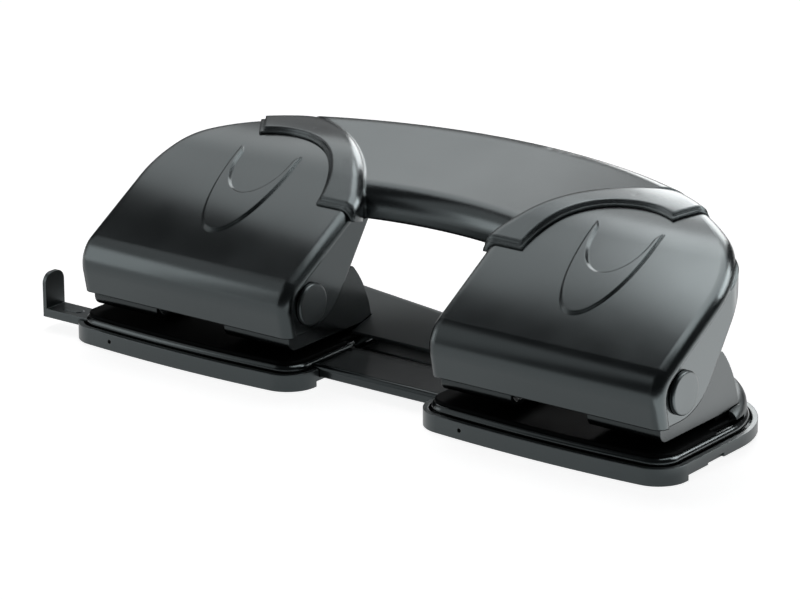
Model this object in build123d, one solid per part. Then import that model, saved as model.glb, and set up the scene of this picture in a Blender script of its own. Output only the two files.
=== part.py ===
from build123d import *
import os
from math import asin, atan2, cos, degrees, hypot, pi, radians, sin, sqrt, tan

# Four-hole desk punch: two punch units side by side on chip trays, tied by a bar and a
# rear rail, with two pressed lever shells that one bowed grip presses down together.
# Millimetres. While it is drawn, X runs along the sheet from the middle of the punch,
# Y from the front to the back, and Z up from the desk.

# Hole pattern and paper
hole_pitch = 80.0
pin_diameter = 5.5
hole_to_edge = 12.0
paper_half_length = 148.5
throat = 2.6
stop_y = 38.0

# Clearances
running_clearance = 0.05
seat_gap = 0.1
part_gap = 0.3
overrun = 5.0

# Lever shells, pressed steel
lever_width = 98.0
lever_wall = 1.5
lever_low_z = 18.8
nose_y = -4.2
nose_z = 29.6
nose_radius = 12.0
nose_lean = 12.0
slope_angle = 30.4
slope_end_y = 46.0
brow_radius = 58.5
fold_radius = 4.0
rim_width = 4.4
cheek_recess = 1.0
skirt_depth = 10.5
cheek_top_y = 49.8
cheek_foot_y = 22.4
cheek_foot_radius = 23.0
cheek_top_radius = 6.0
skin_corner_radius = 35.0
cheek_corner_radius = 14.0

# Raised crescent on each lever shell
crest_height = 0.8
crest_bevel = 0.5
crescent_half_width = 13.6
crescent_tip_y = 50.3
crescent_outer_y = 46.0
crescent_outer_depth = 32.0
crescent_inner_y = 48.0
crescent_inner_half_width = 12.3
crescent_inner_depth = 17.2

# Bow that the back of the levers and the grip follow
bow_radius = 189.0
bow_rear_y = 99.0

# Grip between the units
grip_wall = 2.4
grip_front_y = 47.0
grip_front_low_z = 53.5
grip_front_high_z = 64.2
grip_front_radius = 9.0
grip_crest_z = 78.0
grip_rear_radius = 6.5
grip_rear_low_z = 60.0
grip_half_angle = 33.0
band_centre_dx = -2.0
band_centre_y = 29.0
lip_radius = 33.8
lip_front_y = 34.2
lip_end_dx = 12.0
lip_end_y = 61.0
lip_end_angle = 56.0
shoulder_dx = 26.8
shoulder_y = -2.6
shoulder_radius = 88.0
shoulder_blend_radius = 15.0
flange_height = 2.0
step_height = 0.8
step_width = 1.2
tuck = 2.0
cover_low_y = 43.5
cover_low_z = 52.4

# Pivot
pivot_y = 11.2
pivot_z = 29.2
axle_diameter = 6.0
cap_diameter = 15.8
cap_height = 1.7
cap_edge_radius = 0.8
cap_socket = 0.9

# Stack of the base
foot_height = 2.0
foot_depth = 15.0
tray_top_z = 6.3
tray_floor = 1.2
tray_wall = 2.0
tray_half_width = 54.2
tray_front_y = -5.4
tray_front_bow = 2.7
tray_rear_y = 75.5
tray_front_radius = 12.0
tray_rear_radius = 35.0
base_inset = 3.0
base_rim = 2.0
sheet = 1.2
table_inset = 4.2
table_edge_radius = 0.9
table_step_y = 30.5
table_step = 2.5
table_rear_y = 50.0

# Frame of each unit, pressed steel
frame_margin = 6.0
frame_sheet = 1.5
frame_front_y = 1.4
frame_rear_y = 50.4
frame_front_top_z = 24.0
frame_corner_radius = 4.0
frame_bulge_y = 47.8
frame_bulge_z = 22.5
frame_top_y = 39.6
frame_top_z = 35.5
back_wall_y = 46.0
back_wall_top_z = 22.0
frame_brow_y = 16.0
ear_radius = 7.5
tower_width = 30.0
web_z = 27.0
web_front_y = 17.0
web_rear_y = 38.0
spacer_rear_y = 48.0

# Punch pins and their springs
pin_rest_lift = 0.7
pin_head_diameter = 8.6
pin_head_height = 3.0
pin_top_z = 45.0
pin_notch = 1.4
clip_diameter = 8.4
clip_height = 1.0
groove_depth = 0.55
spring_wire = 1.0
spring_turns = 5
spring_mean_diameter = 7.4
arcs_per_turn = 4
nose_bar_radius = 2.5
nose_bar_y = 22.8
bracket_front_y = 12.0
bracket_rear_y = 29.0
bracket_half_width = 43.0

# Connecting bar and rear rail
bar_front_y = 8.5
bar_rear_y = 34.0
bar_low_z = 3.4
bar_sheet = 1.5
bar_reach = 17.0
bar_edge_radius = 2.0
rail_front_z = 11.2
rail_front_low_z = 10.0
rail_lean = 13.0
rail_wall = 1.5
rail_edge_radius = 4.0
rail_waist_y = 64.1
rail_waist_radius = 60.0
rail_inset = 1.0
rail_end_y = 44.0

# Paper guide
guide_width = 10.4
guide_centre_y = 4.6
guide_sheet = 3.2
guide_length = 75.0
guide_top_z = 7.2
guide_tab_top_z = 20.8
guide_tab_sheet = 1.6
guide_tab_radius = 4.0
guide_mark_length = 9.0
guide_mark_width = 4.0
guide_mark_height = 0.3

# Fasteners
rivet_diameter = 4.0
rivet_head_diameter = 7.0
rivet_head_height = 1.2
rivet_dx = 30.0
rivet_y = 42.2
bar_rivet_margin = 6.0
bar_rivet_setback = 12.3
screw_diameter = 2.5
screw_head_diameter = 6.4
screw_head_height = 1.8
screw_reach = 1.2
boss_diameter = 5.0
boss_height = 1.4
screw_setback = 5.2
screw_angles = (100.0, 145.0)

# Chip hole, finger notch and moulding pip
chip_hole_diameter = 8.0
pip_diameter = 1.6
pip_depth = 0.8
pip_dx = -32.0
pip_z = 3.4
finger_notch_length = 10.0
finger_notch_height = 1.6
finger_notch_y = 24.0

# Shares of an edge where it is looked at
edge_shares = (0.2, 0.5, 0.8)

# Worked out from the sizes above
unit_x = hole_pitch
pin_dx = hole_pitch / 2
frame_half_width = pin_dx + frame_margin
lever_half = lever_width / 2
bow_centre_y = bow_rear_y - bow_radius
base_low_z = tray_top_z + seat_gap
base_under_z = base_low_z + sheet
base_top_z = base_under_z + sheet
table_z = base_top_z + sheet
frame_low_z = table_z + throat
pin_y = stop_y - hole_to_edge
floor_z = foot_height + tray_floor
grip_rear_y = bow_rear_y + flange_height
far_y = grip_rear_y + overrun
front_normal = 180 + nose_lean
slope_normal = 90 + slope_angle
crown_normal = 90
cheek_face_dx = lever_half - cheek_recess


def polar(centre, radius, angle):
    return (centre[0] + radius * cos(radians(angle)), centre[1] + radius * sin(radians(angle)))


# Key points of the levers' skin in side view, as (y, z)
nose_centre = (nose_y + nose_radius, nose_z)
nose_end = polar(nose_centre, nose_radius, slope_normal)
slope_end = (slope_end_y, nose_end[1] + (slope_end_y - nose_end[0]) * tan(radians(slope_angle)))
brow_centre = polar(slope_end, -brow_radius, slope_normal)


def skin_lean(y):
    """How far the skin leans forward at a place on the slope, the brow or the crown, in degrees."""
    if y <= slope_end[0]:
        return slope_angle
    return degrees(asin(max(brow_centre[0] - y, 0) / brow_radius))


def skin_z(y):
    """Height of the skin at a place on the slope, the brow or the crown."""
    if y <= slope_end[0]:
        return slope_end[1] + (y - slope_end[0]) * tan(radians(slope_angle))
    return brow_centre[1] + brow_radius * cos(radians(skin_lean(y)))


def cylinder_x(radius, x_low, x_high, y, z):
    disc = Plane(origin=(x_low, y, z), x_dir=(0, 1, 0), z_dir=(1, 0, 0)) * Circle(radius)
    return extrude(disc, amount=x_high - x_low, dir=(1, 0, 0))


def cylinder_z(radius, x, y, z_low, z_high):
    return extrude(Pos(x, y, z_low) * Circle(radius), amount=z_high - z_low, dir=(0, 0, 1))


def block(x_low, x_high, y_low, y_high, z_low, z_high):
    centre = Pos((x_low + x_high) / 2, (y_low + y_high) / 2, (z_low + z_high) / 2)
    return centre * Box(x_high - x_low, y_high - y_low, z_high - z_low)


def prism(plan, z_low, z_high):
    return extrude(Pos(0, 0, z_low) * plan, amount=z_high - z_low, dir=(0, 0, 1))


def side_prism(edges, x_low, x_high):
    return extrude(make_face(edges), amount=x_high - x_low, dir=(1, 0, 0))


def mirrored(shape):
    return mirror(shape, about=Plane.YZ)


# Lever shells

def skin_edges(inset, x, low_z):
    """The skin's side view from its low front edge to behind the bow, set in by inset."""
    nose = nose_radius - inset
    brow = brow_radius - inset
    front_top = polar(nose_centre, nose, front_normal)
    points = [
        (front_top[0] + (front_top[1] - low_z) * tan(radians(nose_lean)), low_z),
        front_top,
        polar(nose_centre, nose, (front_normal + slope_normal) / 2),
        polar(nose_centre, nose, slope_normal),
        polar(brow_centre, brow, slope_normal),
        polar(brow_centre, brow, (slope_normal + crown_normal) / 2),
        polar(brow_centre, brow, crown_normal),
        (far_y, brow_centre[1] + brow),
    ]
    low, front, nose_mid, slope_low, slope_high, brow_mid, crown, end = [(x, y, z) for y, z in points]
    return [
        Line(low, front),
        ThreePointArc(front, nose_mid, slope_low),
        Line(slope_low, slope_high),
        ThreePointArc(slope_high, brow_mid, crown),
        Line(crown, end),
    ]


def skin_block(inset, low_z, x_low, x_high):
    """Everything under the skin down to low_z."""
    edges = skin_edges(inset, x_low, low_z)
    corner = (x_low, far_y, low_z)
    closing = [Line(edges[-1] @ 1, corner), Line(corner, edges[0] @ 0)]
    return side_prism(edges + closing, x_low, x_high)


def skin_distance(point, inset):
    """How far a point lies from the skin in side view."""
    y, z = point.Y, point.Z
    nose = nose_radius - inset
    brow = brow_radius - inset
    if z <= polar(nose_centre, nose, front_normal)[1]:
        front, normal = polar(nose_centre, nose, front_normal), radians(front_normal)
        return abs((y - front[0]) * cos(normal) + (z - front[1]) * sin(normal))
    if y <= polar(nose_centre, nose, slope_normal)[0]:
        return abs(hypot(y - nose_centre[0], z - nose_centre[1]) - nose)
    if y <= polar(brow_centre, brow, slope_normal)[0]:
        along = (y - slope_end[0]) * cos(radians(slope_normal)) + (z - slope_end[1]) * sin(radians(slope_normal))
        return abs(along + inset)
    if y <= brow_centre[0]:
        return abs(hypot(y - brow_centre[0], z - brow_centre[1]) - brow)
    return abs(z - brow_centre[1] - brow)


def band_centre():
    return (unit_x + band_centre_dx, band_centre_y)


def band_region(clearance):
    """Plan inside the shoulder, where the grip's band laps the right lever."""
    radius = shoulder_radius - clearance
    edge = unit_x - lever_half - flange_height
    region = Pos(unit_x + shoulder_dx, shoulder_y) * Circle(radius)
    region = region & Pos(edge + radius, shoulder_y) * Rectangle(2 * radius, 2 * radius)
    return fillet(region.vertices().sort_by(Axis.Y)[-1], shoulder_blend_radius)


def grip_zone(clearance):
    """Plan of the part behind each unit's inner side that the grip fills."""
    back = far_y + overrun
    zone = Pos(unit_x / 2, back / 2) * Rectangle(unit_x + 2 * lip_end_dx, back)
    return zone - band_region(clearance)


def lever_plan(inset, corner_radius):
    half = lever_half - inset
    front = nose_y - overrun
    plan = Pos(unit_x, (far_y + front) / 2) * Rectangle(2 * half, far_y - front)
    plan = plan & Pos(0, bow_centre_y) * Circle(bow_radius - inset)
    corner = plan.vertices().sort_by(lambda v: v.X * bow_radius + v.Y)[-1]
    return fillet(corner, corner_radius - inset)


def fold_edges(body, inset):
    """The edges where the skin meets the cheeks and the back."""
    found = []
    for edge in body.edges():
        points = [edge @ share for share in edge_shares]
        on_skin = max(skin_distance(p, inset) for p in points) < seat_gap
        along_width = abs(points[0].X - points[-1].X) > overrun and abs(points[0].Y - points[-1].Y) < seat_gap
        if on_skin and not along_width:
            found.append(edge)
    return found


def lever_side():
    """The right lever's side view drawn out to its full width."""
    x_low = unit_x - lever_half
    edges = skin_edges(0, x_low, lever_low_z)
    end = edges[-1] @ 1
    skirt_end = (x_low, far_y, end.Z - skirt_depth)
    knee = (x_low, cheek_top_y, skin_z(cheek_top_y) - skirt_depth)
    foot = (x_low, cheek_foot_y, lever_low_z)
    lower = FilletPolyline(skirt_end, knee, foot, edges[0] @ 0, radius=[cheek_top_radius, cheek_foot_radius])
    return side_prism(edges + [Line(end, skirt_end)] + lower.edges(), x_low, x_low + lever_width)


def grip_cut():
    """What the lever gives up to the grip's arch."""
    return prism(grip_zone(tuck + seat_gap), grip_front_low_z - part_gap, far_y)


def lever_form(side):
    """Outer form of the right lever, closed underneath."""
    body = side & prism(lever_plan(0, skin_corner_radius), 0, far_y)
    return fillet(fold_edges(body, 0), fold_radius) - grip_cut()


def lever_hollow():
    inset = lever_wall + cheek_recess
    body = skin_block(lever_wall, 0, unit_x - lever_half, unit_x + lever_half)
    body = body & prism(lever_plan(inset, skin_corner_radius), 0, far_y)
    body = fillet(fold_edges(body, lever_wall), fold_radius - lever_wall)
    low = skin_block(rim_width + 2 * lever_wall, 0, unit_x - lever_half, unit_x + lever_half)
    return body + (low & prism(lever_plan(inset, cheek_corner_radius), 0, far_y))


def crescent(height, spread):
    """One layer of the raised crescent on the skin, its horns towards the back."""
    tip = crescent_half_width + spread
    tip_y = crescent_tip_y + spread
    outer = [
        Line((-tip, tip_y), (-tip, crescent_outer_y)),
        EllipticalCenterArc((0, crescent_outer_y), tip, crescent_outer_depth + spread, 180, arc_size=180),
        Line((tip, crescent_outer_y), (tip, tip_y)),
    ]
    side = crescent_inner_half_width - spread
    inner = [
        Line((tip, tip_y), (side, crescent_inner_y)),
        EllipticalCenterArc((0, crescent_inner_y), side, crescent_inner_depth - spread, 180, arc_size=180),
        Line((-side, crescent_inner_y), (-tip, tip_y)),
    ]
    plan = Pos(unit_x, 0) * make_face(outer + inner)
    x_low = unit_x - 2 * tip
    x_high = unit_x + 2 * tip
    skin = skin_block(-height, 0, x_low, x_high) - skin_block(crest_height, 0, x_low, x_high)
    return skin & prism(plan, 0, far_y)


def lever_shell(side, form):
    """Folded cover: a rim under the skin, with flat cheeks set back from it."""
    wide = lever_half + overrun
    under_rim = skin_block(rim_width, -overrun, unit_x - wide, unit_x + wide)
    cheeks = side & under_rim & prism(lever_plan(cheek_recess, cheek_corner_radius), 0, far_y)
    shell = form - under_rim + (cheeks - grip_cut()) - lever_hollow()
    hole = axle_diameter / 2 + running_clearance
    shell -= cylinder_x(hole, unit_x - lever_half, unit_x + lever_half, pivot_y, pivot_z)
    for side in (-1, 1):
        face_x = unit_x + side * cheek_face_dx
        ends = sorted((face_x, face_x + side * overrun))
        shell -= cylinder_x(cap_diameter / 2 + part_gap, ends[0], ends[1], pivot_y, pivot_z)
    for place in screw_places():
        shell -= place * Cylinder(boss_diameter / 2 + running_clearance, 2 * lever_wall)
    return shell + crescent(crest_height / 2, crest_bevel) + crescent(crest_height, 0)


# Grip

def screw_places():
    """Frames on the crown under the grip's band, with Z along the skin's outward normal."""
    places = []
    for angle in screw_angles:
        x, y = polar(band_centre(), lip_radius + screw_setback, angle)
        lean = radians(skin_lean(y))
        plane = Plane(origin=(x, y, skin_z(y)), x_dir=(1, 0, 0), z_dir=(0, -sin(lean), cos(lean)))
        places.append(plane.location)
    return places


def grip_arch():
    """The hollow palm rest, turned about the bow's centre."""
    front = (0, grip_front_y, grip_front_low_z)
    front_high = (0, grip_front_y, grip_front_high_z)
    crest = (0, grip_rear_y, grip_crest_z)
    rear = (0, grip_rear_y, grip_rear_low_z)
    upper = FilletPolyline(front, front_high, crest, rear, radius=[grip_front_radius, grip_rear_radius])
    section = make_face(upper.edges() + [Line(rear, front)])
    hollow = offset(section, amount=-grip_wall)
    axis = Axis((0, bow_centre_y, 0), (0, 0, 1))
    turn = 2 * grip_half_angle

    def turned(face):
        return revolve(face.rotate(axis, -grip_half_angle), axis, turn)

    inside = turned(hollow)
    return turned(section) - inside - Pos(0, 0, -2 * grip_wall) * inside


def band_plan(spread):
    """Plan of the band that laps the right lever; spread widens it for the stepped lip."""
    x_low = unit_x - lever_half - flange_height
    x_high = unit_x + lever_half
    y_low = lip_front_y - spread
    y_high = far_y
    plan = Pos((x_low + x_high) / 2, (y_low + y_high) / 2) * Rectangle(x_high - x_low, y_high - y_low)
    plan -= Pos(*band_centre()) * Circle(lip_radius - spread)
    plan = plan & Pos(0, bow_centre_y) * Circle(bow_radius)
    shift = spread / cos(radians(lip_end_angle))
    end_cut = Location((unit_x + lip_end_dx + shift, lip_end_y, 0), (0, 0, lip_end_angle))
    plan -= end_cut * (Pos(0, -far_y / 2) * Rectangle(2 * far_y, far_y)) & outer_side()
    return plan & band_region(0)


def outer_side():
    return Pos(unit_x + lever_half, far_y / 2) * Rectangle(2 * lever_half - 2 * band_centre_dx, 2 * far_y)


def band_layer(form, height, spread):
    """One layer of the band: the space between the lever's form and a skin above it."""
    x_low = unit_x - lever_half - flange_height
    x_high = unit_x + lever_half + flange_height
    plan = lever_plan(-flange_height, skin_corner_radius) & Pos(0, bow_centre_y) * Circle(bow_radius)
    plan = plan & band_region(0)
    plan = fillet(plan.vertices().sort_by(Axis.Y)[-1], shoulder_blend_radius)
    upper = skin_block(-height, 0, x_low, x_high) & prism(plan, 0, far_y)
    folds = [e for e in fold_edges(upper, -height) if e.center().X < unit_x + lip_end_dx or e.center().Y > lip_end_y]
    upper = fillet(folds, fold_radius)
    lower = skin_block(fold_radius + flange_height, 0, x_low + flange_height, x_high)
    return (upper - lower) & prism(band_plan(spread), 0, far_y) - form


def grip_handle(form):
    side = band_layer(form, flange_height, 0) + band_layer(form, step_height, step_width)
    x_low = unit_x - lever_half - flange_height
    low_line = [
        (x_low, lip_front_y - step_width, skin_z(lip_front_y) - fold_radius),
        (x_low, cover_low_y, cover_low_z),
        (x_low, far_y, cover_low_z),
        (x_low, far_y, 0),
        (x_low, 0, 0),
        (x_low, 0, skin_z(lip_front_y) - fold_radius),
    ]
    side -= side_prism(Polyline(*low_line, close=True).edges(), x_low, x_low + flange_height + lever_wall)
    for place in screw_places():
        side += place * Pos(0, 0, (seat_gap - boss_height) / 2) * Cylinder(boss_diameter / 2, boss_height + seat_gap)
        side -= place * Cylinder(screw_diameter / 2 + running_clearance, 2 * screw_reach)
        side -= place * Pos(0, 0, -boss_height) * Cylinder(screw_diameter / 2 + running_clearance, 2 * boss_height)
    keep = grip_zone(tuck)
    arch = grip_arch() & prism(keep + mirror(keep, about=Plane.YZ), 0, far_y)
    return arch + side + mirrored(side)


def grip_screws():
    """Screws from below, their heads on the crown's underside."""
    under = brow_radius - lever_wall
    seat = brow_radius - sqrt(under ** 2 - (screw_head_diameter / 2) ** 2)
    parts = []
    for place in screw_places():
        shank = (screw_reach + seat) / 2
        head_z = -seat - screw_head_height / 2
        screw = place * Pos(0, 0, screw_reach - shank) * Cylinder(screw_diameter / 2, 2 * shank)
        screw += place * Pos(0, 0, head_z) * Cylinder(screw_head_diameter / 2, screw_head_height)
        parts += [screw, mirrored(screw)]
    return parts


# Press bracket under each lever's slope

def press_bracket():
    x_low = unit_x - bracket_half_width
    x_high = unit_x + bracket_half_width
    along = (cos(radians(slope_angle)), sin(radians(slope_angle)))
    nose_bar_z = pin_top_z + nose_bar_radius

    def under_skin(y, depth):
        """Point at a depth under the slope, above or below the place y on it."""
        z = slope_end[1] + (y - slope_end[0]) * tan(radians(slope_angle))
        return polar((y, z), -depth, slope_normal)

    corners = [
        under_skin(bracket_front_y, lever_wall),
        under_skin(bracket_rear_y, lever_wall),
        under_skin(bracket_rear_y, lever_wall + bar_sheet),
        under_skin(bracket_front_y, lever_wall + bar_sheet),
    ]
    outline = Polyline(*[(x_low, y, z) for y, z in corners], close=True)
    bracket = side_prism(outline.edges(), x_low, x_high)
    centre = (nose_bar_y, nose_bar_z)
    slope_z = slope_end[1] + (nose_bar_y - slope_end[0]) * tan(radians(slope_angle))
    height = (slope_z - nose_bar_z) * cos(radians(slope_angle)) - lever_wall
    rib = []
    for side, rise in ((-1, 0), (1, 0), (1, height), (-1, height)):
        foot = polar(centre, rise, slope_normal)
        rib.append((x_low, foot[0] + side * nose_bar_radius * along[0], foot[1] + side * nose_bar_radius * along[1]))
    bracket += side_prism(Polyline(*rib, close=True).edges(), x_low, x_high)
    return bracket + cylinder_x(nose_bar_radius, x_low, x_high, nose_bar_y, nose_bar_z)


# Pivot

def axle():
    reach = cheek_face_dx + part_gap + cap_socket
    return cylinder_x(axle_diameter / 2, unit_x - reach, unit_x + reach, pivot_y, pivot_z)


def axle_cap():
    """Flat round cap over the outer end of the axle."""
    x_low = unit_x + cheek_face_dx + part_gap
    cap = cylinder_x(cap_diameter / 2, x_low, x_low + cap_height, pivot_y, pivot_z)
    cap = fillet(cap.edges().sort_by(Axis.X)[-1], cap_edge_radius)
    return cap - cylinder_x(axle_diameter / 2 + running_clearance, x_low, x_low + cap_socket, pivot_y, pivot_z)


# Frame

def frame():
    low = frame_low_z
    inner_low = low + frame_sheet
    bend = frame_corner_radius
    bend_centre = (frame_front_y + bend, low + bend)
    x_wall = unit_x + frame_half_width - frame_sheet
    x_high = unit_x + frame_half_width
    x_tower = x_high - tower_width

    def bend_edges(x, radius):
        start = (x,) + polar(bend_centre, radius, 180)
        middle = (x,) + polar(bend_centre, radius, 225)
        end = (x,) + polar(bend_centre, radius, 270)
        return ThreePointArc(start, middle, end)

    corner = bend_edges(x_wall, bend)
    front_top = (x_wall, frame_front_y, frame_front_top_z)
    rear_low = (x_wall, frame_rear_y, low)
    rear_mid = (x_wall, frame_bulge_y, frame_bulge_z)
    rear_top = (x_wall, frame_top_y, frame_top_z)
    brow = (x_wall, frame_brow_y, frame_top_z)
    wall = side_prism([
        Line(front_top, corner @ 0),
        corner,
        Line(corner @ 1, rear_low),
        ThreePointArc(rear_low, rear_mid, rear_top),
        Line(rear_top, brow),
        Line(brow, front_top),
    ], x_wall, x_high)
    wall += cylinder_x(ear_radius, x_wall, x_high, pivot_y, pivot_z)
    outer = bend_edges(x_tower, bend)
    inner = bend_edges(x_tower, bend - frame_sheet)
    tower = side_prism([
        Line((x_tower, frame_front_y, frame_front_top_z), outer @ 0),
        outer,
        Line(outer @ 1, (x_tower, frame_rear_y, low)),
        Line((x_tower, frame_rear_y, low), (x_tower, frame_rear_y, inner_low)),
        Line((x_tower, frame_rear_y, inner_low), inner @ 1),
        inner,
        Line(inner @ 0, (x_tower, frame_front_y + frame_sheet, frame_front_top_z)),
        Line((x_tower, frame_front_y + frame_sheet, frame_front_top_z), (x_tower, frame_front_y, frame_front_top_z)),
    ], x_tower, x_high)
    side = wall + tower
    web_x = frame_half_width - frame_sheet / 2
    body = side + mirror(side, about=Plane.YZ.offset(unit_x))
    body += block(unit_x - web_x, unit_x + web_x, web_front_y, web_rear_y, web_z, web_z + frame_sheet)
    body += block(unit_x - web_x, unit_x + web_x, back_wall_y, back_wall_y + frame_sheet, low, back_wall_top_z)
    body -= cylinder_x(axle_diameter / 2 + running_clearance, unit_x - x_high, unit_x + x_high, pivot_y, pivot_z)
    for x in pin_places():
        body -= cylinder_z(pin_diameter / 2 + running_clearance, x, pin_y, 0, frame_top_z)
    for x in rivet_places():
        body -= cylinder_z(rivet_diameter / 2, x, rivet_y, 0, frame_front_top_z)
    return body


def pin_places():
    return [unit_x - pin_dx, unit_x + pin_dx]


def rivet_places():
    return [unit_x - rivet_dx, unit_x + rivet_dx]


def throat_spacer():
    half = frame_half_width - frame_sheet
    body = block(unit_x - half, unit_x + half, stop_y, spacer_rear_y, table_z, frame_low_z)
    for x in rivet_places():
        body -= cylinder_z(rivet_diameter / 2, x, rivet_y, 0, frame_front_top_z)
    return body


def unit_rivets():
    top = frame_low_z + frame_sheet
    parts = []
    for x in rivet_places():
        rivet = cylinder_z(rivet_diameter / 2, x, rivet_y, base_under_z, top)
        rivet += cylinder_z(rivet_head_diameter / 2, x, rivet_y, top, top + rivet_head_height)
        low = base_under_z - rivet_head_height
        parts.append(rivet + cylinder_z(rivet_head_diameter / 2, x, rivet_y, low, base_under_z))
    return parts


# Punch pins, clips and springs

def punch_pin(x):
    tip_z = frame_low_z + pin_rest_lift
    top_z = pin_top_z - running_clearance
    radius = pin_diameter / 2
    pin = cylinder_z(radius, x, pin_y, tip_z, top_z)
    pin += cylinder_z(pin_head_diameter / 2, x, pin_y, top_z - pin_head_height, top_z)
    ring = cylinder_z(radius + groove_depth, x, pin_y, clip_low_z(), clip_low_z() + clip_height)
    pin -= ring - cylinder_z(radius - groove_depth, x, pin_y, clip_low_z(), clip_low_z() + clip_height)
    x_low = x - pin_diameter
    notch = [(x_low, pin_y - radius, tip_z), (x_low, pin_y, tip_z + pin_notch), (x_low, pin_y + radius, tip_z)]
    return pin - side_prism(Polyline(*notch, close=True).edges(), x_low, x + pin_diameter)


def clip_low_z():
    return web_z - running_clearance - clip_height


def pin_clip(x):
    """Open ring in the pin's groove, under the frame's web."""
    low = clip_low_z()
    hole = pin_diameter / 2 - groove_depth
    ring = cylinder_z(clip_diameter / 2, x, pin_y, low, low + clip_height)
    ring -= cylinder_z(hole, x, pin_y, low, low + clip_height)
    return ring - block(x - hole, x + hole, pin_y - clip_diameter, pin_y, low, low + clip_height)


def pin_spring(x):
    """Coil between the web and the pin's head, one tube swept along paired arcs."""
    low = web_z + frame_sheet + spring_wire / 2 + seat_gap
    high = pin_top_z - running_clearance - pin_head_height - spring_wire / 2 - seat_gap
    radius = spring_mean_diameter / 2
    pitch = (high - low) / spring_turns
    steps = spring_turns * arcs_per_turn

    def point(step):
        angle = 2 * pi * step / arcs_per_turn
        return Vector(x + radius * cos(angle), pin_y + radius * sin(angle), low + pitch * step / arcs_per_turn)

    def heading(step):
        angle = 2 * pi * step / arcs_per_turn
        return Vector(-radius * sin(angle), radius * cos(angle), pitch / (2 * pi)).normalized()

    edges = []
    for step in range(steps):
        start, end = point(step), point(step + 1)
        out, into = heading(step), heading(step + 1)
        span, both = end - start, out + into
        spare = 2 * (1 - out.dot(into))
        reach = (sqrt(span.dot(both) ** 2 + spare * span.dot(span)) - span.dot(both)) / spare
        middle = (start + out * reach + end - into * reach) * 0.5
        edges += [TangentArc(start, middle, tangent=out), TangentArc(end, middle, tangent=into * -1)]
    path = Wire(edges)
    section = Plane(origin=point(0), z_dir=heading(0)) * Circle(spring_wire / 2)
    print("spring self-gap", round(pitch * cos(pitch / (2 * pi * radius)) - spring_wire, 2))
    return sweep(section, path=path)


# Base stack

def unit_plan(inset):
    """Outline of the right unit's tray, and of the plates set in from it."""
    half = tray_half_width
    left, right = (-half, tray_front_y), (half, tray_front_y)
    face = make_face([
        ThreePointArc(left, (0, tray_front_y - tray_front_bow), right),
        Line(right, (half, tray_rear_y)),
        Line((half, tray_rear_y), (-half, tray_rear_y)),
        Line((-half, tray_rear_y), left),
    ])
    corners = face.vertices().sort_by(Axis.Y)
    face = fillet(corners[:2], tray_front_radius)
    corners = face.vertices().sort_by(Axis.Y)
    face = fillet(corners[-2:], tray_rear_radius)
    if inset:
        face = offset(face, amount=-inset)
    return Pos(unit_x, 0) * face


def bar_notch(low_z, high_z):
    edge = unit_x - tray_half_width
    return block(edge - overrun, edge + tray_wall + 2 * base_inset, bar_front_y - part_gap, bar_rear_y + part_gap,
                 low_z, high_z)


def guide_notch(low_z, high_z):
    edge = -unit_x - tray_half_width
    half = guide_width / 2 + part_gap
    return block(edge - overrun, edge + tray_wall + 2 * base_inset, guide_centre_y - half, guide_centre_y + half,
                 low_z, high_z)


def chip_tray():
    tray = prism(unit_plan(0), 0, tray_top_z)
    tray -= prism(unit_plan(tray_wall), floor_z, tray_top_z)
    wide = unit_x + tray_half_width + overrun
    tray -= block(0, wide, tray_front_y - tray_front_bow + foot_depth, tray_rear_y - foot_depth, 0, foot_height)
    tray -= bar_notch(floor_z, tray_top_z)
    half = finger_notch_length / 2
    edge = unit_x + tray_half_width
    tray -= block(edge - tray_wall / 2, edge + overrun, finger_notch_y - half, finger_notch_y + half,
                  foot_height, foot_height + finger_notch_height)
    return tray


def tray_pip(centre_x):
    """Small dimple in a tray's front."""
    front = tray_front_y - tray_front_bow
    disc = Plane(origin=(centre_x + pip_dx, front, pip_z), z_dir=(0, 1, 0)) * Circle(pip_diameter / 2)
    return extrude(disc, amount=tray_front_bow + pip_depth, dir=(0, 1, 0))


def base_plate():
    plate = prism(unit_plan(base_inset), base_low_z, base_top_z)
    plate = fillet(plate.faces().sort_by(Axis.Z)[-1].edges(), base_rim)
    plate -= prism(unit_plan(base_inset + sheet), base_low_z, base_under_z)
    plate -= bar_notch(0, base_under_z)
    for x in pin_places():
        plate -= cylinder_z(chip_hole_diameter / 2, x, pin_y, 0, table_z)
    for x in rivet_places():
        plate -= cylinder_z(rivet_diameter / 2, x, rivet_y, 0, table_z)
    for x, y in bar_rivet_places():
        plate -= cylinder_z(rivet_diameter / 2, x, y, 0, table_z)
    return plate


def die_plate():
    plan = unit_plan(table_inset)
    half = tray_half_width - table_inset
    wide = 2 * half
    plan -= Pos(unit_x, table_rear_y + wide) * Rectangle(2 * wide, 2 * wide)
    for side in (-1, 1):
        plan -= Pos(unit_x + side * (half - table_step + wide / 2), table_step_y + wide / 2) * Rectangle(wide, wide)
    plate = prism(plan, base_top_z, table_z)
    rim = [e for e in plate.faces().sort_by(Axis.Z)[-1].edges() if e.center().Y < table_rear_y - overrun]
    plate = fillet(rim, table_edge_radius)
    for x in pin_places():
        plate -= cylinder_z(pin_diameter / 2 + running_clearance, x, pin_y, 0, frame_low_z)
    for x in rivet_places():
        plate -= cylinder_z(rivet_diameter / 2, x, rivet_y, 0, frame_low_z)
    return plate


# Connecting bar and rear rail

def bar_half_length():
    return unit_x - tray_half_width + tray_wall + bar_reach


def bar_rivet_places():
    x = bar_half_length() - bar_rivet_setback
    return [(x, bar_front_y + bar_rivet_margin), (x, bar_rear_y - bar_rivet_margin)]


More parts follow.
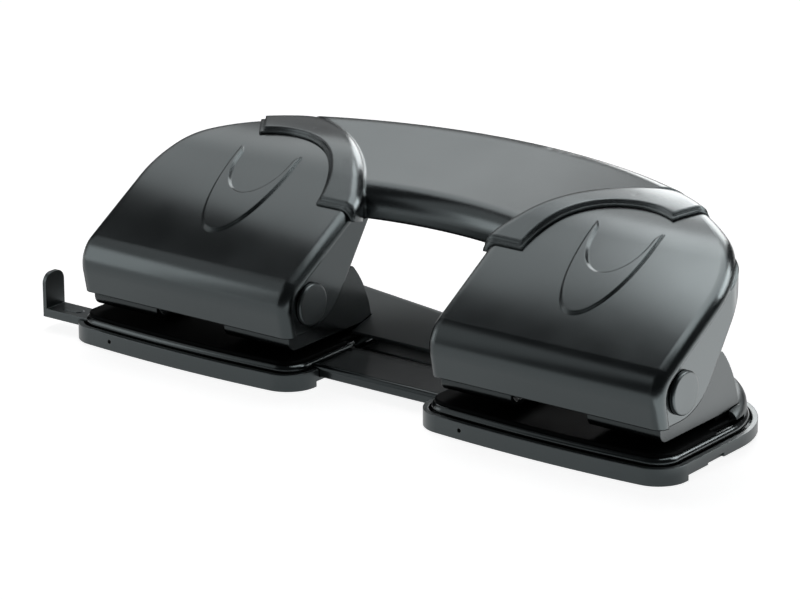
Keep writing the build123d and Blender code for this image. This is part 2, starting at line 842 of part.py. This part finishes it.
def connecting_bar():
    half = bar_half_length()
    bar = block(-half, half, bar_front_y, bar_rear_y, bar_low_z, base_under_z)
    ridge = [e for e in bar.edges().filter_by(Axis.X) if e.center().Z > bar_low_z + bar_sheet]
    bar = fillet(ridge, bar_edge_radius)
    bar -= block(-half, half, bar_front_y + bar_sheet, bar_rear_y - bar_sheet, 0, base_under_z - bar_sheet)
    for side in (-1, 1):
        bar -= cylinder_z(chip_hole_diameter / 2, side * pin_places()[0], pin_y, 0, base_top_z)
        for x, y in bar_rivet_places():
            bar -= cylinder_z(rivet_diameter / 2, side * x, y, 0, base_top_z)
    return bar


def bar_rivets():
    parts = []
    head_z = base_under_z - bar_sheet
    for x, y in bar_rivet_places():
        rivet = cylinder_z(rivet_diameter / 2, x, y, head_z, base_top_z - seat_gap)
        rivet += cylinder_z(rivet_head_diameter / 2, x, y, head_z - rivet_head_height, head_z)
        parts += [rivet, mirrored(rivet)]
    return parts


def rail_plan(inset):
    set_in = base_inset + rail_inset + inset
    half = tray_half_width - set_in
    radius = tray_rear_radius - set_in
    rear = tray_rear_y - set_in
    inner = (unit_x - half + radius, rear - radius)
    outer = (unit_x + half - radius, rear - radius)
    waist = (0, rail_waist_y - inset)
    bearing = degrees(atan2(inner[1] - waist[1], inner[0]))
    turn = bearing + degrees(asin(radius / hypot(inner[0], inner[1] - waist[1]))) + 90
    touch = polar(inner, radius, turn)
    front = stop_y + inset
    end = unit_x + half
    plan = make_face([
        Line((0, front), (end, front)),
        Line((end, front), (end, outer[1])),
        ThreePointArc((end, outer[1]), polar(outer, radius, 45), (outer[0], rear)),
        Line((outer[0], rear), (inner[0], rear)),
        ThreePointArc((inner[0], rear), polar(inner, radius, (90 + turn) / 2), touch),
        Line(touch, waist),
        Line(waist, (0, front)),
    ])
    plan = plan + mirrored(plan)
    corner = plan.vertices().sort_by_distance((0, waist[1], 0))[0]
    return fillet(corner, rail_waist_radius + inset)


def rail_slope(inset):
    """Everything under the rail's leaning top, which rises from the paper stop to the back."""
    wide = unit_x + tray_half_width
    drop = inset / cos(radians(rail_lean))
    front_z = rail_front_z - drop
    rear_z = front_z + (far_y - stop_y) * tan(radians(rail_lean))
    outline = [(-wide, stop_y, -far_y), (-wide, stop_y, front_z), (-wide, far_y, rear_z), (-wide, far_y, -far_y)]
    return side_prism(Polyline(*outline, close=True).edges(), -wide, wide)


def rail_body(inset, edge_radius):
    """The rail's cover over its plan, rounded where the top meets the sides and the back."""
    body = prism(rail_plan(inset), base_top_z - 2 * overrun, far_y) & rail_slope(inset)
    top = body.faces().sort_by(Axis.Z)[-1]
    return fillet([e for e in top.edges() if e.center().Y > stop_y + 2 * rail_wall], edge_radius)


def rear_rail():
    rail = rail_body(0, rail_edge_radius)
    hollow = rail_body(rail_wall, rail_edge_radius - rail_wall)
    half = frame_half_width + part_gap
    table_half = tray_half_width - table_inset + part_gap
    wide = unit_x + tray_half_width
    notch_y = frame_rear_y + part_gap
    deep = base_top_z - 2 * overrun
    notches = []
    for side in (-1, 1):
        centre = side * unit_x
        ends = sorted((centre - side * (half + rail_wall), side * wide))
        hollow -= block(ends[0], ends[1], 0, notch_y + rail_wall, deep, far_y)
        notches.append(block(centre - half, centre + half, 0, notch_y, deep, far_y))
        notches.append(block(centre - table_half, centre + table_half, 0, table_rear_y + part_gap, deep, table_z + seat_gap))
        ends = sorted((centre, side * wide))
        notches.append(block(ends[0], ends[1], 0, rail_end_y, deep, far_y))
    rail -= hollow
    for notch in notches:
        rail -= notch
    rail -= block(-wide, wide, 0, far_y, deep, base_top_z)
    return rail - block(-unit_x, unit_x, 0, stop_y + 2 * rail_wall, 0, rail_front_low_z)


# Paper guide

def paper_guide():
    """Sliding stop at the left: a flat bar with an upright tab that the sheet's edge meets."""
    inner = -paper_half_length
    outer = inner - guide_tab_sheet
    half = guide_width / 2
    low = guide_top_z - guide_sheet
    bar = block(outer, inner + guide_length, guide_centre_y - half, guide_centre_y + half, low, guide_top_z)
    tab = block(outer, inner, guide_centre_y - half, guide_centre_y + half, low, guide_tab_top_z)
    tops = [e for e in tab.edges().filter_by(Axis.X) if e.center().Z > guide_top_z]
    tab = fillet(tops, guide_tab_radius)
    mark_x = inner + guide_mark_length
    mark = Pos(mark_x, guide_centre_y, guide_top_z) * SlotOverall(guide_mark_length, guide_mark_width)
    return bar + tab + extrude(mark, amount=guide_mark_height, dir=(0, 0, 1))


# Every piece by name

outline = lever_side()
form = lever_form(outline)
shell = lever_shell(outline, form)
bracket = press_bracket()
shaft = axle()
outer_cap = axle_cap()
inner_cap = mirror(outer_cap, about=Plane.YZ.offset(unit_x))
tower_frame = frame()
spacer = throat_spacer()
rivets = unit_rivets()
tray = chip_tray()
plate = base_plate()
table = die_plate()

pieces = {
    "left_lever_shell": [mirrored(shell)],
    "right_lever_shell": [shell],
    "grip_handle": [grip_handle(form)],
    "grip_screws": grip_screws(),
    "left_press_bracket": [mirrored(bracket)],
    "right_press_bracket": [bracket],
    "left_axle": [mirrored(shaft)],
    "right_axle": [shaft],
    "left_outer_axle_cap": [mirrored(outer_cap)],
    "left_inner_axle_cap": [mirrored(inner_cap)],
    "right_inner_axle_cap": [inner_cap],
    "right_outer_axle_cap": [outer_cap],
    "left_frame": [mirrored(tower_frame)],
    "right_frame": [tower_frame],
    "left_throat_spacer": [mirrored(spacer)],
    "right_throat_spacer": [spacer],
    "left_rivets": [mirrored(rivet) for rivet in rivets],
    "right_rivets": rivets,
    "left_base_plate": [mirrored(plate) - guide_notch(0, base_under_z)],
    "right_base_plate": [plate],
    "left_die_plate": [mirrored(table)],
    "right_die_plate": [table],
    "connecting_bar": [connecting_bar()],
    "bar_rivets": bar_rivets(),
    "rear_rail": [rear_rail()],
    "left_chip_tray": [mirrored(tray) - tray_pip(-unit_x) - guide_notch(guide_top_z - guide_sheet - seat_gap, tray_top_z)],
    "right_chip_tray": [tray - tray_pip(unit_x)],
    "paper_guide": [paper_guide()],
}
places = {"left_outer": -pin_places()[1], "left_inner": -pin_places()[0]}
places.update({"right_inner": pin_places()[0], "right_outer": pin_places()[1]})
for name, x in places.items():
    pieces[name + "_pin"] = [punch_pin(x)]
    pieces[name + "_clip"] = [pin_clip(x)]
    pieces[name + "_spring"] = [pin_spring(x)]

# Set the middle of the whole punch over the origin, standing on the desk
left_end = -paper_half_length - guide_tab_sheet
right_end = unit_x + tray_half_width
front_end = tray_front_y - tray_front_bow
to_frame = Pos(-(left_end + right_end) / 2, -(front_end + grip_rear_y) / 2, 0)
os.makedirs("parts", exist_ok=True)
for name, solids in pieces.items():
    placed = [to_frame * solid for solid in solids]
    export_step(placed[0] if len(placed) == 1 else Compound(children=placed), "parts/" + name + ".step")
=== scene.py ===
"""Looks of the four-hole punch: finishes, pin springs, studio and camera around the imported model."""
import math

import bpy
from mathutils import Matrix, Vector


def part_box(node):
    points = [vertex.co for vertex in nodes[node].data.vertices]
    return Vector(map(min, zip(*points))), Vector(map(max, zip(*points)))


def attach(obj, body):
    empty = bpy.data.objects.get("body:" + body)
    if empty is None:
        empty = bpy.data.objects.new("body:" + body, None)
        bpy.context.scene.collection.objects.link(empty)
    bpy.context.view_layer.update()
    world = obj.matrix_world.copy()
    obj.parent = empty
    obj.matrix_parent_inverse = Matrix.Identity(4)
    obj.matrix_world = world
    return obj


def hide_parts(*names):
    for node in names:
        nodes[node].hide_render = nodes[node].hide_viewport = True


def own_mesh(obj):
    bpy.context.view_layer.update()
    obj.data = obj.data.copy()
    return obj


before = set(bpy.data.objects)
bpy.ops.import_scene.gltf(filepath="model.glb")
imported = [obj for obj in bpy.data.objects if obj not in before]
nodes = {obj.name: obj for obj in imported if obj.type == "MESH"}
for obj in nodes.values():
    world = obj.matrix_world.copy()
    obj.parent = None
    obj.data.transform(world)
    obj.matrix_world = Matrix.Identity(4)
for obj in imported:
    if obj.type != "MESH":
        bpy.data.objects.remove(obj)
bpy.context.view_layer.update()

# Camera of the photograph, in metres and degrees
camera_place = (0.87185, -1.17135, 0.5133)
camera_yaw = 36.97
camera_pitch = 18.46
camera_roll = -0.21
focal_pixels = 4235.0
picture_width = 800.0
sensor_width_mm = 36.0
clip_end = 50.0

# Drift of colour and gloss over a piece, and its fine skin
drift_size = 40.0
drift_detail = 3.0
drift_low = 0.3
drift_high = 0.7
skin_detail = 1.5
smooth_skin = (900.0, 0.000002)
plastic_skin = (1600.0, 0.000002)
grained_skin = (2600.0, 0.000004)
plated_skin = (2200.0, 0.000003)
ground_skin = (1800.0, 0.000001)
cool_tint = (0.86, 1.0, 1.03, 1.0)
edge_samples = 6

# Bulge of the levers' slopes: its middle and height in metres, its wave in radians a metre
crown_middle = -0.0262
crown_wave = 71.4
crown_height = 0.00105
facing_up_from = 0.35
facing_up_full = 0.65

# Connecting bar's rear flange, under the rail's front, in metres
flange_low = (-0.01745, -0.0126, 0.00605)
flange_high = (0.03335, -0.00145, 0.00755)

# Pin springs, in metres
spring_wire = 0.001
spring_turns = 5
wire_sides = 10
turn_steps = 32

# Studio: a grey room, paler near the horizon, and a pale floor that looks white
horizon_grey = (0.20, 0.205, 0.21, 1.0)
room_grey = (0.07, 0.072, 0.074, 1.0)
room_grey_height = 0.3
floor_size = 8.0
floor_grey = (0.7, 0.7, 0.7, 1.0)
floor_roughness = 0.9
floor_specular = 0.1
floor_glow = 0.88

# Pieces by finish
pin_places = ("left_outer", "left_inner", "right_inner", "right_outer")
lacquered = ["left_lever_shell", "right_lever_shell"]
plated_black = ["left_base_plate", "right_base_plate", "connecting_bar"]
rail_black = ["rear_rail"]
# Die plates and throat spacers get a darker copy of the lacquer: painted shade for the dark throat under the
# levers
shade_darkened_sheets = ["left_die_plate", "right_die_plate", "left_throat_spacer", "right_throat_spacer"]
frame_black = ["left_frame", "right_frame"]
gripping = ["grip_handle"]
moulded = ["left_chip_tray", "right_chip_tray", "paper_guide"]
zinc_plated = [
    "left_press_bracket", "right_press_bracket", "left_rivets", "right_rivets", "bar_rivets", "grip_screws",
]
bright_steel = ["left_axle", "right_axle"]
for place in pin_places:
    moulded.append(place + "_axle_cap")
    bright_steel.append(place + "_pin")
    zinc_plated.append(place + "_clip")


def new_group(name, inputs, outputs):
    """An empty shader node group with named value sockets."""
    group = bpy.data.node_groups.new(name, "ShaderNodeTree")
    for label, value in inputs:
        socket = group.interface.new_socket(label, in_out="INPUT", socket_type="NodeSocketFloat")
        socket.default_value = value
    for label in outputs:
        group.interface.new_socket(label, in_out="OUTPUT", socket_type="NodeSocketFloat")
    return group


def math_node(tree, operation):
    node = tree.new("ShaderNodeMath")
    node.operation = operation
    return node


def vector_node(tree, operation):
    node = tree.new("ShaderNodeVectorMath")
    node.operation = operation
    return node


def surface_life_group():
    """Soft drift in colour and gloss and a fine skin texture, shared by every finish."""
    group = new_group(
        "surface_life",
        [("Drift Size", drift_size), ("Skin Size", 0.0), ("Low Gloss", 0.0), ("High Gloss", 0.0)],
        ["Roughness", "Skin", "Drift"],
    )
    tree = group.nodes
    link = group.links.new
    start = tree.new("NodeGroupInput")
    end = tree.new("NodeGroupOutput")
    where = tree.new("ShaderNodeTexCoord")
    drift = tree.new("ShaderNodeTexNoise")
    drift.inputs["Detail"].default_value = drift_detail
    skin = tree.new("ShaderNodeTexNoise")
    skin.inputs["Detail"].default_value = skin_detail
    spread = tree.new("ShaderNodeMapRange")
    spread.inputs["From Min"].default_value = drift_low
    spread.inputs["From Max"].default_value = drift_high
    link(where.outputs["Object"], drift.inputs["Vector"])
    link(where.outputs["Object"], skin.inputs["Vector"])
    link(start.outputs["Drift Size"], drift.inputs["Scale"])
    link(start.outputs["Skin Size"], skin.inputs["Scale"])
    link(drift.outputs["Fac"], spread.inputs["Value"])
    link(start.outputs["Low Gloss"], spread.inputs["To Min"])
    link(start.outputs["High Gloss"], spread.inputs["To Max"])
    link(spread.outputs["Result"], end.inputs["Roughness"])
    link(skin.outputs["Fac"], end.inputs["Skin"])
    link(drift.outputs["Fac"], end.inputs["Drift"])
    return group


def panel_crown_group():
    """The slight bulge of the levers' pressed slopes, as a height and where on the piece it counts."""
    group = new_group(
        "panel_crown",
        [("Middle", crown_middle), ("Turns", crown_wave), ("Height", crown_height)],
        ["Height", "Upward"],
    )
    tree = group.nodes
    link = group.links.new
    start = tree.new("NodeGroupInput")
    end = tree.new("NodeGroupOutput")
    where = tree.new("ShaderNodeTexCoord")
    place = tree.new("ShaderNodeSeparateXYZ")
    facing = tree.new("ShaderNodeSeparateXYZ")
    along = math_node(tree, "SUBTRACT")
    turn = math_node(tree, "MULTIPLY")
    wave = math_node(tree, "COSINE")
    lift = math_node(tree, "MULTIPLY")
    upward = tree.new("ShaderNodeMapRange")
    upward.interpolation_type = "SMOOTHSTEP"
    upward.inputs["From Min"].default_value = facing_up_from
    upward.inputs["From Max"].default_value = facing_up_full
    link(where.outputs["Object"], place.inputs["Vector"])
    link(where.outputs["Normal"], facing.inputs["Vector"])
    link(place.outputs["Y"], along.inputs[0])
    link(start.outputs["Middle"], along.inputs[1])
    link(along.outputs["Value"], turn.inputs[0])
    link(start.outputs["Turns"], turn.inputs[1])
    link(turn.outputs["Value"], wave.inputs[0])
    link(wave.outputs["Value"], lift.inputs[0])
    link(start.outputs["Height"], lift.inputs[1])
    link(facing.outputs["Z"], upward.inputs["Value"])
    link(lift.outputs["Value"], end.inputs["Height"])
    link(upward.outputs["Result"], end.inputs["Upward"])
    return group


surface_life = surface_life_group()
panel_crown = panel_crown_group()


def crowned(tree, link, normal):
    """A normal bent by the panels' bulge where the piece faces up."""
    crown = tree.new("ShaderNodeGroup")
    crown.node_tree = panel_crown
    bulge = tree.new("ShaderNodeBump")
    bulge.inputs["Strength"].default_value = 1.0
    bulge.inputs["Distance"].default_value = 1.0
    blend = tree.new("ShaderNodeMix")
    blend.data_type = "VECTOR"
    link(crown.outputs["Height"], bulge.inputs["Height"])
    link(normal, bulge.inputs["Normal"])
    link(crown.outputs["Upward"], blend.inputs["Factor"])
    link(normal, blend.inputs[4])
    link(bulge.outputs["Normal"], blend.inputs[5])
    return blend.outputs[1]


def deepened(tree, link, normal, gain):
    """A softened normal turned further from the plain one, so that shallow pressed edges read."""
    plain = tree.new("ShaderNodeNewGeometry")
    away = vector_node(tree, "SUBTRACT")
    more = vector_node(tree, "MULTIPLY_ADD")
    more.inputs[1].default_value = (gain, gain, gain)
    unit = vector_node(tree, "NORMALIZE")
    link(normal, away.inputs[0])
    link(plain.outputs["Normal"], away.inputs[1])
    link(away.outputs["Vector"], more.inputs[0])
    link(normal, more.inputs[2])
    link(more.outputs["Vector"], unit.inputs[0])
    return unit.outputs["Vector"]


def finish_material(name, dark, light, gloss, skin, metallic=0.0, ior=1.5, specular=0.5, edge=0.0, relief=0.0,
                    bulging=False):
    """A Principled finish whose colour, roughness and skin vary over the piece, with softened edges."""
    material = bpy.data.materials.new(name)
    material.use_nodes = True
    tree = material.node_tree.nodes
    link = material.node_tree.links.new
    shader = tree["Principled BSDF"]
    shader.inputs["Metallic"].default_value = metallic
    shader.inputs["IOR"].default_value = ior
    shader.inputs["Specular IOR Level"].default_value = specular
    shader.inputs["Specular Tint"].default_value = cool_tint
    life = tree.new("ShaderNodeGroup")
    life.node_tree = surface_life
    life.inputs["Low Gloss"].default_value, life.inputs["High Gloss"].default_value = gloss
    tone = tree.new("ShaderNodeMix")
    tone.data_type = "RGBA"
    tone.inputs["A"].default_value = (*dark, 1.0)
    tone.inputs["B"].default_value = (*light, 1.0)
    bump = tree.new("ShaderNodeBump")
    bump.inputs["Strength"].default_value = 1.0
    life.inputs["Skin Size"].default_value, bump.inputs["Distance"].default_value = skin
    link(life.outputs["Drift"], tone.inputs["Factor"])
    link(tone.outputs["Result"], shader.inputs["Base Color"])
    link(life.outputs["Roughness"], shader.inputs["Roughness"])
    link(life.outputs["Skin"], bump.inputs["Height"])
    if edge:
        soft_edge = tree.new("ShaderNodeBevel")
        soft_edge.samples = edge_samples
        soft_edge.inputs["Radius"].default_value = edge
        normal = soft_edge.outputs["Normal"]
        if relief:
            normal = deepened(tree, link, normal, relief)
        if bulging:
            normal = crowned(tree, link, normal)
        link(normal, bump.inputs["Normal"])
    link(bump.outputs["Normal"], shader.inputs["Normal"])
    return material


def dress(names, material):
    """Gives a finish to CAD nodes."""
    for name in names:
        mesh = nodes[name].data
        mesh.materials.clear()
        mesh.materials.append(material)


lacquer = finish_material(
    "black_lacquer", dark=(0.004, 0.0046, 0.005), light=(0.007, 0.0078, 0.0082), gloss=(0.16, 0.21),
    skin=smooth_skin, ior=1.6, edge=0.0007, relief=2.5, bulging=True)
plate_lacquer = finish_material(
    "black_plate_lacquer", dark=(0.004, 0.0046, 0.005), light=(0.007, 0.0078, 0.0082), gloss=(0.14, 0.2),
    skin=smooth_skin, edge=0.0006)
# Painted shade: a darker, nearly unreflective copy of the black lacquer, so the die plates and throat spacers
# read as the shade under the levers
shaded_sheet_lacquer = finish_material(
    "black_sheet_painted_shade", dark=(0.002, 0.0022, 0.0024), light=(0.003, 0.0033, 0.0035), gloss=(0.5, 0.6),
    skin=smooth_skin, specular=0.02, edge=0.0004)
frame_lacquer = finish_material(
    "black_frame", dark=(0.003, 0.0034, 0.0036), light=(0.005, 0.0055, 0.006), gloss=(0.2, 0.28),
    skin=smooth_skin, specular=0.4, edge=0.0004)
rail_lacquer = finish_material(
    "black_rail", dark=(0.012, 0.0135, 0.0145), light=(0.018, 0.02, 0.021), gloss=(0.36, 0.44),
    skin=smooth_skin, edge=0.0005)
grip_plastic = finish_material(
    "black_grip_plastic", dark=(0.005, 0.0056, 0.006), light=(0.008, 0.0088, 0.0092), gloss=(0.17, 0.23),
    skin=plastic_skin, ior=1.66, edge=0.0016, relief=0.6)
moulding = finish_material(
    "dark_moulding", dark=(0.012, 0.0135, 0.014), light=(0.018, 0.0195, 0.020), gloss=(0.3, 0.4),
    skin=grained_skin, ior=1.62, edge=0.0005)
zinc = finish_material(
    "zinc_plate", dark=(0.46, 0.46, 0.45), light=(0.60, 0.60, 0.58), gloss=(0.28, 0.4),
    skin=plated_skin, metallic=1.0)
steel = finish_material(
    "bright_steel", dark=(0.50, 0.51, 0.52), light=(0.62, 0.63, 0.64), gloss=(0.16, 0.26),
    skin=ground_skin, metallic=1.0)
dress(lacquered, lacquer)
dress(plated_black, plate_lacquer)
dress(rail_black, rail_lacquer)
dress(shade_darkened_sheets, shaded_sheet_lacquer)
dress(frame_black, frame_lacquer)
dress(gripping, grip_plastic)
dress(moulded, moulding)
dress(zinc_plated, zinc)
dress(bright_steel, steel)


def plain_block(name, low, high):
    """A block between two corners, with its own origin left at the frame's."""
    bpy.ops.object.select_all(action="DESELECT")
    bpy.ops.mesh.primitive_cube_add(size=1.0, location=(0.0, 0.0, 0.0))
    piece = bpy.context.object
    piece.name = name
    bpy.ops.object.mode_set(mode="EDIT")
    bpy.ops.mesh.select_all(action="SELECT")
    bpy.ops.transform.resize(value=[b - a for a, b in zip(low, high)])
    bpy.ops.transform.translate(value=[(a + b) / 2 for a, b in zip(low, high)])
    bpy.ops.object.mode_set(mode="OBJECT")
    return piece


def pin_spring(node):
    """The node's coil as a mesh on the base, in place of the node."""
    low, high = (Vector(corner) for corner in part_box(node))
    length = high.z - low.z
    coil_radius = (high.y - low.y - spring_wire) / 2
    bpy.ops.object.select_all(action="DESELECT")
    bpy.ops.mesh.primitive_circle_add(vertices=wire_sides, radius=spring_wire / 2, location=(0.0, 0.0, 0.0))
    piece = bpy.context.object
    piece.name = node + "_coil"
    bpy.ops.object.mode_set(mode="EDIT")
    bpy.ops.mesh.select_all(action="SELECT")
    bpy.ops.transform.rotate(value=math.pi / 2, orient_axis="X")
    bpy.ops.transform.translate(value=(coil_radius, 0.0, low.z + spring_wire / 2))
    bpy.ops.object.mode_set(mode="OBJECT")
    screw = piece.modifiers.new("turns", "SCREW")
    screw.axis = "Z"
    screw.steps = turn_steps
    screw.render_steps = turn_steps
    screw.iterations = spring_turns
    screw.screw_offset = (length - spring_wire) / spring_turns
    bpy.ops.object.modifier_apply(modifier=screw.name)
    bpy.ops.object.mode_set(mode="EDIT")
    bpy.ops.mesh.select_all(action="SELECT")
    bpy.ops.mesh.fill_holes(sides=0)
    bpy.ops.mesh.select_all(action="SELECT")
    bpy.ops.mesh.normals_make_consistent(inside=False)
    bpy.ops.transform.translate(value=((low.x + high.x) / 2, (low.y + high.y) / 2, 0.0))
    bpy.ops.object.mode_set(mode="OBJECT")
    bpy.ops.object.shade_smooth()
    piece.data.materials.append(zinc)
    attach(piece, "base")
    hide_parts(node)
    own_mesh(piece)


flange = plain_block("bar_rear_flange", flange_low, flange_high)
flange.data.materials.append(plate_lacquer)
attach(flange, "base")

for place in pin_places:
    pin_spring(place + "_spring")

scene = bpy.context.scene
scene.view_settings.view_transform = "Standard"


def studio_world():
    """A grey studio, a little paler near the horizon."""
    world = bpy.data.worlds.new("studio")
    scene.world = world
    world.use_nodes = True
    tree = world.node_tree.nodes
    link = world.node_tree.links.new
    background = tree["Background"]
    where = tree.new("ShaderNodeTexCoord")
    parts = tree.new("ShaderNodeSeparateXYZ")
    ramp = tree.new("ShaderNodeValToRGB")
    horizon, room = ramp.color_ramp.elements
    horizon.position = 0.0
    horizon.color = horizon_grey
    room.position = room_grey_height
    room.color = room_grey
    link(where.outputs["Generated"], parts.inputs["Vector"])
    link(parts.outputs["Z"], ramp.inputs["Fac"])
    link(ramp.outputs["Color"], background.inputs["Color"])


def softbox(name, place, aim, size, radiance, gloss_only=True):
    """A rectangular lamp that faces a point, given by how bright its face looks."""
    lamp = bpy.data.lights.new(name, "AREA")
    lamp.shape = "RECTANGLE"
    lamp.size, lamp.size_y = size
    lamp.energy = radiance * lamp.size * lamp.size_y * math.pi
    box = bpy.data.objects.new(name, lamp)
    scene.collection.objects.link(box)
    box.location = place
    box.rotation_euler = (Vector(aim) - Vector(place)).to_track_quat("-Z", "Y").to_euler()
    box.visible_camera = False
    if gloss_only:
        box.visible_diffuse = False


def pale_floor():
    """A floor that takes the shadow, and looks white to the camera and in reflections."""
    bpy.ops.object.select_all(action="DESELECT")
    bpy.ops.mesh.primitive_plane_add(size=floor_size, location=(0.0, 0.0, 0.0))
    floor = bpy.context.object
    floor.name = "floor"
    material = bpy.data.materials.new("pale_floor")
    material.use_nodes = True
    tree = material.node_tree.nodes
    link = material.node_tree.links.new
    shader = tree["Principled BSDF"]
    shader.inputs["Base Color"].default_value = floor_grey
    shader.inputs["Roughness"].default_value = floor_roughness
    shader.inputs["Specular IOR Level"].default_value = floor_specular
    shader.inputs["Emission Strength"].default_value = floor_glow
    path = tree.new("ShaderNodeLightPath")
    seen = math_node(tree, "MAXIMUM")
    through = math_node(tree, "MAXIMUM")
    link(path.outputs["Is Camera Ray"], seen.inputs[0])
    link(path.outputs["Is Glossy Ray"], seen.inputs[1])
    link(seen.outputs["Value"], through.inputs[0])
    link(path.outputs["Is Transmission Ray"], through.inputs[1])
    link(through.outputs["Value"], shader.inputs["Emission Color"])
    floor.data.materials.append(material)


def photograph_camera():
    """The camera at the photograph's place, with its lens from the focal length in pixels."""
    data = bpy.data.cameras.new("camera")
    data.sensor_width = sensor_width_mm
    data.sensor_fit = "HORIZONTAL"
    data.lens = focal_pixels / picture_width * sensor_width_mm
    data.clip_end = clip_end
    camera = bpy.data.objects.new("camera", data)
    scene.collection.objects.link(camera)
    turn = Matrix.Rotation(math.radians(camera_yaw), 4, "Z")
    tilt = Matrix.Rotation(math.radians(90.0 - camera_pitch), 4, "X")
    roll = Matrix.Rotation(math.radians(camera_roll), 4, "Z")
    camera.matrix_world = Matrix.Translation(camera_place) @ turn @ tilt @ roll
    scene.camera = camera


studio_world()
pale_floor()

# The overhead lamp lights the scene, the others only show as reflections
softbox("overhead", place=(-0.295, 0.42, 0.711), aim=(0.165, -0.015, 0.441), size=(0.923, 0.523), radiance=1.75,
        gloss_only=False)
softbox("front_left", place=(-0.545, -0.446, 0.37), aim=(0.079, -0.272, 0.258), size=(0.729, 0.802), radiance=0.7)
softbox("left_card", place=(-0.33, -0.25, 0.13), aim=(-0.07, -0.03, 0.04), size=(0.16, 0.2), radiance=2.0)
softbox("top", place=(0.064, 0.101, 0.667), aim=(0.061, -0.218, 0.259), size=(0.655, 0.47), radiance=3.9)
softbox("back_strip", place=(-0.19, 0.67, 0.40), aim=(0.0, 0.0, 0.05), size=(0.34, 0.45), radiance=5.0)
softbox("back_low", place=(-0.25, 0.30, 0.30), aim=(0.0, 0.0, 0.22), size=(0.55, 0.24), radiance=0.45)
softbox("right", place=(0.45, 0.40, 0.45), aim=(0.05, 0.0, 0.03), size=(0.35, 0.35), radiance=9.0)
softbox("right_card", place=(0.30, 0.06, 0.003), aim=(0.30, 0.06, 1.0), size=(0.3, 0.5), radiance=1.7)
photograph_camera()
